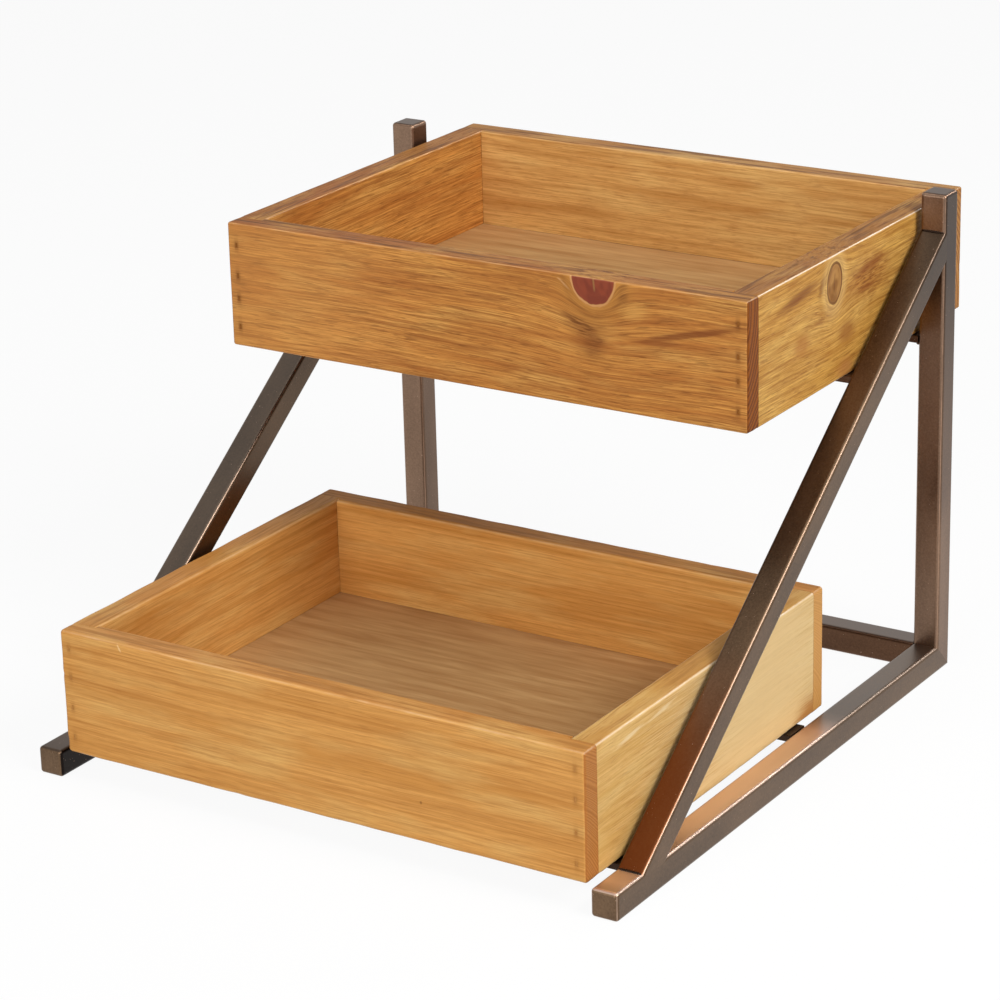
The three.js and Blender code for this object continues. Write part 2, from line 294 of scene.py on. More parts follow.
# Mild steel tube under a bronze-toned satin lacquer: brown metal with coppery depth and a clear grey sheen at
# low angles. Arrises are rubbed and painted pale as highlights, the copper on the rail tops and the right leg
# is a painted reflection of the wooden box, painted shade darkens faces that lie in shade, a painted grey
# sheen dulls some flats, and there are a few bare specks and scratches.
bronzeLook = dict(deep="#503E2E", warm="#7A614A", copperReflection="#EED0BE", wornAndHighlight="#B8937A", speck="#B89A86",
                  paintedShade="#1A130F", paintedSheen="#A79F97", arrisFrom=0.9, ragged=(0.5, 0.95), patchy=0.85,
                  scratches=0.35, pits=-0.6, bump=0.16, bumpDepth=0.0001, roughness=(0.33, 0.42), coat=0.1,
                  coatRoughness=0.3)
# Copies of the bronze: the uprights' is lighter as painted light and the bars' is darker as painted shade; the
# rails' arris highlight is painted brighter, the legs' copper reflection darker and their arris highlight
# weaker
uprightLook = dict(bronzeLook, deep="#665041", warm="#90745F")
barLook = dict(bronzeLook, deep="#452F21", warm="#684B37")
railLook = dict(bronzeLook, wornAndHighlight="#CDAE98")
legLook = dict(bronzeLook, copperReflection="#7C4018", wornAndHighlight="#9C8474")
# Near black: the painted shadow line along the joints of the legs with the rail and the upright
shadowLineLook = dict(bronzeLook, deep="#1C140F", warm="#33251C", wornAndHighlight="#4A382C")
# Each pattern: lengths along and across the tube, detail, roughness, and the values taken as 0 and 1. Specks
# are half a millimetre across in the real finish, drawn at about one so that they show.
bronzeFields = {"broad": ((80, 26, 26), 2, 0.5, 0.3, 0.7), "fine": ((1.3, 1.3, 1.3), 3, 0.65, 0.3, 0.7),
                "speck": ((1.1, 1.1, 1.1), 1, 0.5, 0.77, 0.8), "scratch": ((20, 0.5, 0.5), 2, 0.5, 0.74, 0.8),
                "breakup": ((14, 7, 7), 4, 0.7, 0.4, 0.6), "smear": ((90, 14, 14), 2, 0.5, 0.3, 0.7)}


def bronzeMaterial(name, turn, look):
    material, node = newMaterial(name)
    # Millimetres, x along the tube
    place = node("Mapping", {"Vector": node("TexCoord", out="Object"), "Rotation": turn,
                             "Scale": toMillimetres})
    fields = {}
    for key, pattern in bronzeFields.items():
        fields[key] = addField(node, place, (len(fields),) * 3, *pattern)
    arris, rubbedAndPaintedLight, paintedShade, paintedSheen = (node("Attribute", attribute_name=key, out="Fac")
                                 for key in ("arris", "rubbedAndPaintedLight", "paintedShade", "paintedSheen"))
    half = node("Math MULTIPLY", [fields["broad"], 0.5])
    tone = node("Math MULTIPLY_ADD", [fields["fine"], 0.5, half])
    edge = node("MapRange", [arris, look["arrisFrom"]], interpolation_type="SMOOTHSTEP")
    ragged = node("MapRange", [fields["breakup"], 0, 1, *look["ragged"]])
    wornAndHighlight = node("Math MULTIPLY", [edge, ragged])
    patchy = node("MapRange", [fields["smear"], 0, 1, look["patchy"]])
    copperReflection = node("Math MULTIPLY", [rubbedAndPaintedLight, patchy])
    scratches = node("Math MULTIPLY", [fields["scratch"], look["scratches"]])
    bare = node("Math MAXIMUM", [fields["speck"], scratches])
    colour = stackColours(node, hexColour(look["deep"]), [(mask, 1.0, look[tint]) for mask, tint in (
        (tone, "warm"), (copperReflection, "copperReflection"), (paintedShade, "paintedShade"), (paintedSheen, "paintedSheen"), (bare, "speck"), (wornAndHighlight, "wornAndHighlight"))])
    rough = node("MapRange", [tone, 0, 1, *look["roughness"]])
    height = node("Math MULTIPLY_ADD", [bare, look["pits"], fields["fine"]])
    return finishMaterial(material, node, height, look["bump"], look["bumpDepth"], {
        "Base Color": colour, "Metallic": 1.0, "Roughness": rough, "Coat Weight": look["coat"],
        "Coat Roughness": look["coatRoughness"]})


# Scots pine, planed along the grain, wiped with stain and sealed with a thin satin oil: fine straight rings,
# crisp dark lines and dashes, end grain that drinks the stain, rubbed arrises painted pale as highlights, top
# edges painted darker as shade. Lengths are in millimetres along the grain, through the board and up the
# board. Real fibres are a few hundredths of a millimetre wide; they are drawn at eight tenths so that they
# show.
pineFields = {"swell": ((90, 18, 18), 2, 0.5, 0.3, 0.7), "band": ((200, 30, 9), 2, 0.5, 0.42, 0.62),
              "cloud": ((80, 26, 16), 2, 0.5, 0.48, 0.68), "line": ((70, 4, 1.5), 3, 0.65, 0.5, 0.63),
              "fibre": ((30, 1.2, 0.8), 3, 0.7, 0.38, 0.64), "dash": ((15, 1.8, 1.0), 2, 0.55, 0.57, 0.67),
              "fleck": ((17, 4.0, 2.6), 3, 0.7, 0.54, 0.64), "speckle": ((13, 2.0, 1.5), 2, 0.6, 0.46, 0.58),
              "lump": ((8, 8, 8), 2, 0.5, 0.3, 0.7), "breakup": ((24, 12, 12), 3, 0.6, 0.36, 0.66),
              "pore": ((0.8, 0.8, 0.8), 2, 0.5, 0.3, 0.7)}
pineBends = (((420, 120, 120), 6.0), ((70, 26, 26), 1.5), ((26, 9, 9), 0.35))
# Yearly rings: dark late wood across one, the millimetres over which their width varies and by how many rings,
# and the least strength of a ring and of a stretch of it
rings = dict(stops=[(0.0, 0.05), (0.35, 0.12), (0.74, 0.7), (0.88, 1.0), (1.0, 0.05)], uneven=9.0, sway=1.8,
             weakest=0.3, palest=0.35)
pineFinish = dict(bump=0.22, bumpDepth=0.00012, roughness=(0.5, 0.66), gloss=0.15, oil=(0.08, 0.9),
                  oilRoughness=0.25, rim=(0.4, 0.9), rimLines=0.65, fibreDepth=-0.8)
# Sawn ends, and rubbed arrises painted pale as highlights: squared normals along the grain and upwards, from
# none to full of each mark
sawnEnds = dict(face=(0.2, 0.5), turn=(0.98, 0.6), turnShare=0.6, late=(0.1, 0.45), pores=0.4, ringShare=0.9,
                rubbedAndPaintedLight=(0.3, 0.02), above=(0.02, 0.2), arrisFrom=0.35)
# Distances from a knot's middle in knot radii, from none to full of each mark, and strengths
knotMarks = dict(parting=0.95, ragged=0.08, offRim=3.0, halo=(2.3, 1.25), wake=1.42, wakeWidth=(0.2, 0.02),
                 collar=(1.07, 1.03), inside=(1.06, 1.02), hoops=0.3, darkShare=0.75, crackWidth=(0.06, 0.02),
                 crackLength=(0.6, 0.45), crackShare=0.7, wakeLeast=0.35, sides=(-0.8, 0.8))
# In each look, the rim colour is painted shade on the top edges, and the worn colour paints rubbed arrises
# pale as highlights
upperLook = dict(early="#D8984A", late="#8D4F1E", warm="#A55E23", pale="#DDAB5D", streak="#8A5020",
                 dash="#683A15", fleck="#8C4A1E", ring=2.7, contrast=0.66, bandShare=0.6, cloudShare=0.55,
                 lineShare=0.56, fibreShare=0.62, dashShare=0.5, fleckShare=0.2, endDark="#5A2A06",
                 endPale="#96520E", endRings=0.8, endShare=0.9, rim="#9A6A3E", rimShadeShare=0.6,
                 rimLine="#5E3818", wornAndHighlight="#E2B27E", wornHighlightShare=0.65, wornHighlightEven=0.35, nail="#704018",
                 nailShare=0.82, knotRim=0.08)
lowerLook = dict(early="#DDA257", late="#A56422", warm="#BB7B32", pale="#E4BC74", streak="#A96D31",
                 dash="#8F5828", fleck="#AD6C30", ring=3.0, contrast=0.75, bandShare=0.5, cloudShare=0.45,
                 lineShare=0.34, fibreShare=0.36, dashShare=0.2, fleckShare=0.08, endDark="#985A24",
                 endPale="#C08040", endRings=2.0, endShare=0.6, rim="#C48A50", rimShadeShare=0.5,
                 rimLine="#A87238", wornAndHighlight="#E8C090", wornHighlightShare=0.6, wornHighlightEven=0.2, nail="#9C6228",
                 nailShare=0.6, knotRim=0.1)


def pineMaterial(name, look, centre, turn, pith, slope, seed, knots=(), patches=()):
    material, node = newMaterial(name)
    # Board millimetres from its middle: x along the grain, y through the board, z up the board
    cosTurn, sinTurn = math.cos(turn), math.sin(turn)
    back = (-centre[0] * cosTurn - centre[1] * sinTurn, centre[0] * sinTurn - centre[1] * cosTurn, -centre[2])
    place = node("Mapping", {"Vector": node("TexCoord", out="Object"), "Location": back,
                             "Rotation": (0, 0, -turn), "Scale": toMillimetres})
    bend = place
    for lengths, reach in pineBends:
        spread = node("Mapping", {"Vector": place, "Location": (seed,) * 3, "Scale": [1 / v for v in lengths]})
        shaken = node("TexNoise", {"Vector": spread, "Scale": 1, "Detail": 1}, out="Color")
        bend = node("VectorMath MULTIPLY_ADD", [shaken, (0, reach, reach), bend])

    def spotAt(x, z, wide, tall, lean):
        # A round spot that goes right through the board: places in spot radii, and how far out each is
        spot = node("Mapping", {"Vector": place, "Location": (x, 0, z), "Rotation": (0, lean, 0),
                                "Scale": (wide, through, tall)}, vector_type="TEXTURE")
        return spot, node("VectorMath LENGTH", [spot], out="Value")

    # The grain parts round a knot as water does round a pile: z moves by -z / distance squared, in knot radii
    spots = []
    for knot in knots:
        spot, away = spotAt(*(knot[key] for key in ("x", "z", "wide", "tall", "lean")))
        outside = node("Math MAXIMUM", [away, 1.0])
        push = node("Math POWER", [outside, -2.0])
        pushed = node("VectorMath SCALE", {0: spot, "Scale": push})
        bend = node("VectorMath MULTIPLY_ADD", [pushed, (0, 0, -knot["tall"] * knotMarks["parting"]), bend])
        spots.append((knot, spot, away))
    fields = {}
    for key, pattern in pineFields.items():
        fields[key] = addField(node, bend, (seed + len(fields), 2 * seed, len(fields)), *pattern)

    # Yearly rings are circles round the pith, of uneven width; each has its own strength of dark late wood
    stem = node("Mapping", {"Vector": bend, "Location": (0, pith[0], pith[1]), "Rotation": (0, slope, 0)})
    across = node("VectorMath MULTIPLY", [stem, (0, 1, 1)])
    radius = node("VectorMath LENGTH", [across], out="Value")
    slow = node("Math DIVIDE", [radius, rings["uneven"]])
    uneven = node("TexNoise", {"W": slow, "Scale": 1, "Detail": 1}, noise_dimensions="1D")
    count = node("Math DIVIDE", [radius, look["ring"]])
    phase = node("Math MULTIPLY_ADD", [uneven, rings["sway"], count])
    late = node("ValToRGB", [node("Math FRACT", [phase])], stops=rings["stops"])
    which = node("TexWhiteNoise", {"W": node("Math FLOOR", [phase])}, noise_dimensions="1D")
    force = node("MapRange", [which, 0, 1, rings["weakest"]])
    swell = node("MapRange", [fields["swell"], 0, 1, rings["palest"]])
    ringed = node("Math MULTIPLY", [late, force])
    ringed = node("Math MULTIPLY", [ringed, swell])

    # The top edge is painted darker than the faces as shade, and shows darker grain lines
    ended, upwards, arris, nailed = (node("Attribute", attribute_name=key, out="Fac")
                                     for key in ("endGrain", "rim", "arris", "nailed"))
    rim = node("MapRange", [upwards, *pineFinish["rim"]])
    layers = [(rim, look["rimShadeShare"], look["rim"]), (ringed, look["contrast"], look["late"])]
    layers += [(fields[key], look[key + "Share"], look[tone]) for key, tone in (
        ("band", "warm"), ("cloud", "pale"), ("line", "streak"), ("fibre", "streak"), ("fleck", "fleck"),
        ("dash", "dash"))]
    rimLines = node("Math MULTIPLY", [rim, fields["line"]])
    layers.append((rimLines, pineFinish["rimLines"], look["rimLine"]))
    offRim = node("Math SUBTRACT", [1.0, rim])

    def patchLayer(x, z, wide, tall, lean, tint, share, broken=None, core=0.5, brim=1.4):
        # An oval patch, ragged with the fibres: full inside core, gone outside brim, broken up by a field
        away = spotAt(x, z, wide, tall, lean)[1]
        ragged = node("Math MULTIPLY_ADD", [fields["fibre"], 0.5, away])
        mask = node("MapRange", [ragged, brim, core], interpolation_type="SMOOTHSTEP")
        mask = node("Math MULTIPLY", [mask, offRim])
        if broken:
            mask = node("Math MULTIPLY", [mask, fields[broken]])
        return mask, share, tint

    layers += [patchLayer(*patch) for patch in patches]
    for knot, spot, away in spots:
        # The knot shows on the faces and is left off the top edge, which is painted darker as shade
        sunk = node("Math MULTIPLY_ADD", [rim, knotMarks["offRim"], away])
        away = node("Math MULTIPLY_ADD", [fields["lump"], knotMarks["ragged"], sunk])
        masks = {}
        for key, shift in (("halo", 0), ("collar", look["knotRim"]), ("inside", 0), ("crackLength", 0)):
            none, full = knotMarks[key]
            masks[key] = node("MapRange", [away, none + shift, full + shift],
                              interpolation_type="SMOOTHSTEP" if key == "halo" else "LINEAR")
        apart = node("Math ADD", [away, -knotMarks["wake"]])
        sideways = node("SeparateXYZ", [spot], out="X")
        for key, distance in (("wakeWidth", apart), ("crackWidth", sideways)):
            masks[key] = node("MapRange", [node("Math ABSOLUTE", [distance]), *knotMarks[key]])
        lines = node("MapRange", [fields["line"], 0, 1, knotMarks["wakeLeast"]])
        wake = node("Math MULTIPLY", [masks["wakeWidth"], lines])
        lean = node("MapRange", [sideways, *knotMarks["sides"], *knot["collarSides"]])
        collar = node("Math MULTIPLY", [masks["collar"], lean])
        hoops = node("Math SINE", [node("Math MULTIPLY", [away, knot["hoops"]])])
        flecks = node("Math MULTIPLY_ADD", [hoops, knotMarks["hoops"], fields["speckle"]])
        fleck = node("Math MULTIPLY", [flecks, masks["inside"]], use_clamp=True)
        crack = node("Math MULTIPLY", [masks["crackWidth"], masks["crackLength"]])
        layers += [(masks["halo"], knot["haloShare"], knot["halo"]), (wake, knot["wakeShare"], knot["wake"]),
                   (collar, 1.0, knot["collar"]), (masks["inside"], 1.0, knot["body"]),
                   (fleck, knotMarks["darkShare"], knot["dark"]),
                   (crack, knotMarks["crackShare"], knot["crack"])]

    # Sawn ends: the same rings, dark; a dark line where the face turns into the end
    endMask = node("MapRange", [ended, *sawnEnds["face"]])
    endPhase = node("Math MULTIPLY", [phase, look["endRings"]])
    zigzag = node("Math PINGPONG", [endPhase, 0.5])
    endLate = node("MapRange", [zigzag, *sawnEnds["late"]])
    endRing = node("Math MULTIPLY_ADD", [fields["pore"], sawnEnds["pores"], endLate])
    endRing = node("Math MULTIPLY", [endRing, look["endShare"]])
    endRing = node("Math MULTIPLY", [endRing, endMask], use_clamp=True)
    turning = node("MapRange", [ended, *sawnEnds["turn"]])
    endLine = node("Math MULTIPLY", [endMask, turning])
    # Upright arrises at a sawn end get no rubbed, painted highlight; the one above it does
    facing = node("MapRange", [ended, *sawnEnds["rubbedAndPaintedLight"]])
    above = node("MapRange", [upwards, *sawnEnds["above"]])
    facing = node("Math MAXIMUM", [facing, above])
    edge = node("MapRange", [arris, sawnEnds["arrisFrom"]])
    even = node("MapRange", [fields["breakup"], 0, 1, look["wornHighlightEven"]])
    wornAndHighlight = node("Math MULTIPLY", [edge, even])
    wornAndHighlight = node("Math MULTIPLY", [wornAndHighlight, facing])
    layers += [(endMask, 1.0, look["endPale"]), (endRing, sawnEnds["ringShare"], look["endDark"]),
               (endLine, sawnEnds["turnShare"], look["endDark"]), (wornAndHighlight, look["wornHighlightShare"], look["wornAndHighlight"]),
               (nailed, look["nailShare"], look["nail"])]
    colour = stackColours(node, hexColour(look["early"]), layers)
    height = node("Math MULTIPLY_ADD", [fields["fibre"], pineFinish["fibreDepth"], late])
    rough = node("MapRange", [fields["fibre"], 0, 1, *pineFinish["roughness"]])
    oil = node("MapRange", [wornAndHighlight, 0, 1, *pineFinish["oil"]])
    return finishMaterial(material, node, height, pineFinish["bump"], pineFinish["bumpDepth"], {
        "Base Color": colour, "Roughness": rough, "Specular IOR Level": pineFinish["gloss"],
        "Coat Weight": oil, "Coat Roughness": pineFinish["oilRoughness"]})


plainFinish = dict(rough=0.6, twist=0.4, values=(0.3, 0.7), swing=0.06, bump=0.2, bumpDepth=0.0001,
                   gloss=(0.15, 0.5))


def plainMaterial(name, colours, scale, detail, roughness, metallic):
    material, node = newMaterial(name)
    place = node("Mapping", {"Vector": node("TexCoord", out="Object"), "Scale": toMillimetres})
    spread = node("VectorMath MULTIPLY", [place, scale])
    noise = node("TexNoise", {"Vector": spread, "Scale": 1, "Detail": detail,
                              "Roughness": plainFinish["rough"], "Distortion": plainFinish["twist"]})
    tone = node("MapRange", [noise, *plainFinish["values"]])
    colour = stackColours(node, hexColour(colours[0]), [(tone, 1.0, colours[1])])
    swing = plainFinish["swing"]
    rough = node("MapRange", [tone, 0, 1, roughness - swing, roughness + swing])
    return finishMaterial(material, node, tone, plainFinish["bump"], plainFinish["bumpDepth"], {
        "Base Color": colour, "Roughness": rough, "Metallic": metallic,
        "Specular IOR Level": plainFinish["gloss"][metallic > 0]})


# Boards: planed pine, arrises eased by hand, grooved for the floor and holed for the nails
boards = dict(radius=dict(upper=1.6, lower=2.3), endRadius=0.15, wear=0.16, holePlay=0.1, floorPlay=0.3,
              rebatePlay=0.3, seam=0.12, headDepth=1.2, headRun=3.0, touch=0.01, mark=(1.8, 6, 4.0),
              headLines={0: (0.7, 1.6), 2: (1.2, 2.6)})
putty = dict(upper=("#7C4A1C", "#945C26"), lower=("#A66F38", "#BE8848"), play=0.02, reach=0.58, radius=0.1,
             spacing=1.5)
looks = dict(upper=upperLook, lower=lowerLook)
# Each board was sawn from its own place in the stem: pith is how far its middle lies from the heart, in
# millimetres. A patch is its middle's x and z, half width, half height, lean, colour and strength, and for
# some the field that breaks it up and how far out it is full.
sawn = {
    "upper_front_board": dict(pith=(70, -43), slope=0.006, seed=3.1, knots=[dict(x=88.4, z=44.2, wide=16.0,
        tall=18.4, lean=-0.1, body="#883F28", dark="#753423", crack="#9A7040", collar="#CE9862",
        collarSides=(0.8, 0.6), halo="#B07A36", haloShare=0.4, wake="#6A3814", wakeShare=0.45, hoops=16)],
        patches=[(-170, 0, 130, 300, 0, "#EBAA60", 0.2), (67, 36.5, 6.5, 1.0, 0.65, "#DDAE78", 0.8),
        (110.5, 33, 4.5, 12, 0.2, "#623417", 0.9, "fibre"), (118, 25, 14, 7, -0.2, "#DDA858", 0.45),
        (160, 16, 42, 2.6, -0.24, "#743A15", 0.8, None, 0.7),
        (136, 7, 18, 2.2, -0.05, "#7C4018", 0.65, None, 0.7), (84, 4, 17, 15, 0.5, "#8A4E1E", 0.6, None, 0.3),
        (80, 10, 20, 7, 0.42, "#5E3010", 0.85, "speckle"), (82, 8, 17, 4.5, 0.42, "#643412", 0.75, "fibre"),
        (88, -4, 11, 11, 0.9, "#643412", 0.85, "fibre")]),
    # This board's lighter look is painted light, standing in for more light on its inner face
    "upper_back_board": dict(pith=(60, 30), slope=-0.008, seed=5.7, look=dict(early="#E2B068", late="#A87034",
        warm="#B67A38", pale="#EBC27A", streak="#A46C30", dash="#8A5222", dashShare=0.22, lineShare=0.4,
        fibreShare=0.4, endPale="#BC8340", endDark="#8A5526")),
    "upper_left_board": dict(pith=(52, -66), slope=0.01, seed=9.2),
    # The near-white top arris of this board is a painted highlight, and its dark top edge is painted shade
    "upper_right_board": dict(pith=(-60, 48), slope=0.02, seed=12.4, look=dict(early="#E0AC54",
        late="#9E662A", warm="#BC8436", pale="#ECC26E", streak="#9C6428", dash="#7E4A1C", fleck="#96551F",
        fleckShare=0.3, rim="#8C5C38", rimShadeShare=0.85, wornAndHighlight="#F9E6CC", wornHighlightShare=0.95, wornHighlightEven=0.7,
        knotRim=0.17), knots=[dict(x=-37, z=24.5, wide=9.2, tall=12.2, lean=0.1, body="#B07E42",
        dark="#7A4A1C", crack="#5A3418", collar="#6E4016", collarSides=(0.85, 0.95), halo="#E6BE78",
        haloShare=0.5, wake="#8A5220", wakeShare=0.6, hoops=9)],
        patches=[(-86, 28, 30, 4.5, -0.12, "#804A1E", 0.85), (-54, 27, 4, 10, 0.5, "#7A461A", 0.7),
        (11, 18, 34, 17, 0, "#A8682C", 0.5), (11, 17, 34, 18, 0, "#7E461A", 0.85, "speckle"),
        (15, 24, 26, 4.2, -0.1, "#86491C", 0.75), (9, 10, 18, 3, -0.1, "#86491C", 0.6),
        (-48, 9, 22, 9, 0, "#8A5222", 0.85, "speckle"), (-82, -5, 12, 9, 0, "#A8682C", 0.65),
        (-19, -13, 14, 9, 0, "#945A26", 0.75), (-21, -37, 14, 8, 0, "#AC6C3C", 0.6)]),
    "lower_front_board": dict(pith=(70, 78), slope=-0.01, seed=15.8,
        patches=[(-151, 40, 0.7, 4, -0.5, "#EFCB95", 0.7), (81, -16.5, 1.2, 1.4, 0, "#7E5024", 0.8)]),
    "lower_back_board": dict(pith=(50, 60), slope=0.007, seed=18.3, look=dict(endDark="#B87A36",
        endPale="#D8A05A", endShare=0.4)),
    "lower_left_board": dict(pith=(-48, 60), slope=0.01, seed=21.9),
    # A painted highlight on the top arris and painted shade on the top edge
    "lower_right_board": dict(pith=(-70, 55), slope=-0.02, seed=24.6, look=dict(early="#E4B870",
        late="#BE8A44", warm="#D0A052", pale="#EFD28E", streak="#C08E4A", fleck="#B87A3A", fleckShare=0.2,
        rim="#B98347", rimShadeShare=0.8, wornAndHighlight="#F5DFC0", wornHighlightShare=0.85, wornHighlightEven=0.5),
        patches=[(70, 0, 160, 300, 0, "#EDD09A", 0.65), (-100, 34, 18, 1.8, -0.12, "#F6E2B8", 0.45),
        (-62, 36, 20, 1.8, -0.1, "#F6E2B8", 0.45), (138, -41, 28, 14, 0.1, "#B8742E", 0.85)]),
}


def nailSlots(box):
    # Corners of each nail's shank hole and head slot, the way (1 or -1) it was driven, and its head's face
    slots = []
    play = boards["holePlay"]
    for end, inwards in (("front", 1), ("back", -1)):
        for side in ("left", "right"):
            for number in range(1, 5):
                low, high = boxOf(f"{box}_{end}_{side}_nail_{number}")
                middle, half = (low + high) / 2, (high - low) / 2
                half[2] = half[0]
                shank, head = (middle - half - play, middle + half + play), (low - play, high + play)
                face = low[1] if inwards > 0 else high[1]
                reach = sorted([face - inwards * boards["headRun"], face + inwards * boards["headDepth"]])
                head[0][1], head[1][1] = reach
                slots.append((shank, head, inwards, face))
    return slots


def makeBoards():
    floorPlay, touch = boards["floorPlay"], boards["touch"]
    for box in ("upper", "lower"):
        floorLow, floorHigh = boxOf(f"{box}_floor")
        groove = (floorLow - [floorPlay, floorPlay, 0], floorHigh + floorPlay)
        slots = nailSlots(box)
        holes = [hole for shank, head, inwards, face in slots for hole in (shank, head)]
        for place in ("front", "back", "left", "right"):
            name = f"{box}_{place}_board"
            low, high = boxOf(name)
            isEnd = place in ("front", "back")
            radii, extra = [boards["radius"][box]] * 3, [[], [], []]
            cuts = [groove] + [h for h in holes if (h[0] < high - touch).all() and (h[1] > low + touch).all()]
            heads = [head for shank, head, inwards, face in slots if isEnd and low[1] < face < high[1]]
            if isEnd:
                # The side boards' ends fill rebates, with play beside them and a hairline seam on the outside
                play = np.array([boards["rebatePlay"], boards["seam"], 1])
                sides = [boxOf(f"{box}_{side}_board") for side in ("left", "right")]
                cuts += [(sideLow - play, sideHigh + play) for sideLow, sideHigh in sides]
                for headLow, headHigh in heads:
                    for axis, widths in boards["headLines"].items():
                        extra[axis] += [headLow[axis] - w for w in widths]
                        extra[axis] += [headHigh[axis] + w for w in widths]
            else:
                radii[1] = boards["endRadius"]
            points, faces, marks = slabSurface(low, high, radii, cuts, wear=boards["wear"], extra=extra,
                                               seed=int(sawn[name]["seed"] * 10), grain=0 if isEnd else 1)
            if not isEnd:
                marks["arris"] = np.where(marks["endGrain"] > 0.01, 0, marks["arris"])
            # Stain round a nail: e to the minus square of the distance, in half widths of the mark
            marks["nailed"] = np.zeros(len(points))
            for headLow, headHigh in heads:
                away = (points - (headLow + headHigh) / 2) / boards["mark"]
                marks["nailed"] = np.maximum(marks["nailed"], np.exp(-(away ** 2).sum(1)))
            settings = dict(sawn[name])
            look = dict(looks[box], **settings.pop("look", {}))
            material = pineMaterial(f"{box}_stained_pine_{place}", look, (low + high) / 2,
                                    0.0 if isEnd else math.pi / 2, **settings)
            putPiece(f"{name}_wood", points, faces, f"{box}_box", material, [name], marks)
        putFilling(box, slots)


def putFilling(box, slots):
    # Putty over each nail head: a small slab that ends 0.12 mm under the board's face
    allPoints, allFaces, count = [], [], 0
    for shank, (low, high), inwards, face in slots:
        low, high = low + putty["play"], high - putty["play"]
        low[1], high[1] = sorted([face - inwards * putty["play"], face - inwards * putty["reach"]])
        points, faces, marks = slabSurface(low, high, putty["radius"], steps=1, spacing=putty["spacing"])
        allPoints.append(points)
        allFaces.append(faces + count)
        count += len(points)
    material = plainMaterial(f"{box}_wood_putty", putty[box], (1.2, 1.2, 0.6), 3, 0.7, 0.0)
    putPiece(f"{box}_nail_putty", np.concatenate(allPoints), np.concatenate(allFaces), f"{box}_box",
             material)


makeBoards()
print("boards made")

bars = dict(radius=0.7, endRadius=0.1, spacing=12.0, wornAndHighlight=0.6, backWornAndHighlight=1.0, paintedShade=0.7)
# Marks on the finish, most of them painted reflection, shade and sheen: strengths, and pairs of places along a
# tube between which a mark comes or goes
tubeMarks = dict(railFrom=(-257, -252), railTo=(12, 42), leftRail=0.1, leftRailPaintedShade=0.5, leftArris=0.88,
                 railPaintedShade=1.0, innerPaintedShade=0.27, paintedSheenShare=0.32, legPaintedReflection=0.75, legFades=(60, 120), legPaintedShade=0.5,
                 legDarkens=(235, 310), leftLegPaintedShade=0.35, leftLegPaintedSheen=0.17, uprightPaintedShade=0.74,
                 uprightDarkens=(110, 290), capPaintedShade=0.45)
# Weld beads: radius, and how far its two ends lie from the corners of the right-hand joint that it fills
welds = {"bar": (1.6, (-0.7, 1, -0.2), (-0.7, -1, -0.2)),
         "leg_foot": (0.9, (1.5, -0.2, 0.1), (-1.5, -0.2, 0.1)),
         "leg_head": (0.8, (1.5, -0.1, 0.2), (-1.5, -0.1, 0.2)),
         "rear_cross_tube_front": (1.3, (-0.5, -0.2, 2), (-0.5, -0.2, -1.6)),
         "rear_cross_tube_top": (1.1, (-0.5, 2, -0.6), (-0.5, -2, -0.6))}


def onFace(values, place):
    # True for the points of the flat face at place and of the round arrises beside it
    return np.abs(values - place) < tubes["skin"]


def paint(marks, mark, where, strength):
    # Gives a mark to the points in where, and leaves it as it was on the others
    marks[mark] = np.where(where, strength, marks.get(mark, 0))


def putTube(name, start, end, across, startNormal, endNormal, material):
    points, faces, marks = tubeSurface(start, end, across, startNormal, endNormal)
    aside, height = np.abs(points[:, 0]), points[:, 2]
    top = onFace(height, tubes["side"])
    if "rail" in name:
        # The rail tops carry a painted copper reflection of the lower box's wood, from the front to where the
        # box ends, the left one less; their inner faces carry painted shade
        fade = np.interp(points[:, 1], tubeMarks["railFrom"] + tubeMarks["railTo"], (0, 1, 1, 0))
        fade *= tubeMarks["leftRail"] if "left" in name else 1
        paint(marks, "rubbedAndPaintedLight", top, fade)
    # A painted grey sheen on the tops of the right rail and the cross tube, less where the copper reflection
    # lies
    if "right_base_rail" in name or "cross" in name:
        paint(marks, "paintedSheen", top, tubeMarks["paintedSheenShare"] * (1 - marks.get("rubbedAndPaintedLight", 0)))
    if "leg" in name:
        # The right leg's front carries a painted copper reflection low down and both legs' heads get painted
        # shade; the left leg's front gets painted grey sheen and painted shade
        front = np.abs(aside - aside.mean()) < tubes["side"] / 2 - tubes["skin"]
        marks["paintedShade"] = np.interp(height, tubeMarks["legDarkens"], (0, tubeMarks["legPaintedShade"]))
        if "left" in name:
            paint(marks, "paintedSheen", front, tubeMarks["leftLegPaintedSheen"])
            paint(marks, "paintedShade", front, tubeMarks["leftLegPaintedShade"])
        else:
            fade = np.interp(height, tubeMarks["legFades"], (tubeMarks["legPaintedReflection"], 0))
            paint(marks, "rubbedAndPaintedLight", front, fade)
    # Painted shade on the inner faces: full on the rails, lighter on the legs and uprights
    if "cross" not in name:
        dark = tubeMarks["railPaintedShade" if "rail" in name else "innerPaintedShade"]
        paint(marks, "paintedShade", onFace(aside, aside.min()), dark)
    # The left rail's top gets painted shade and its painted arris highlight is made weaker
    if "left_base_rail" in name:
        paint(marks, "paintedShade", top, tubeMarks["leftRailPaintedShade"])
        marks["arris"] *= tubeMarks["leftArris"]
    if "upright" in name:
        # Painted shade, darker up the outer faces of the uprights
        fade = np.interp(height, tubeMarks["uprightDarkens"], (0, tubeMarks["uprightPaintedShade"]))
        marks["paintedShade"] += np.where(onFace(aside, aside.max()), fade, 0)
    putPiece(f"{name}_steel", points, faces, "frame", material, [name], marks)


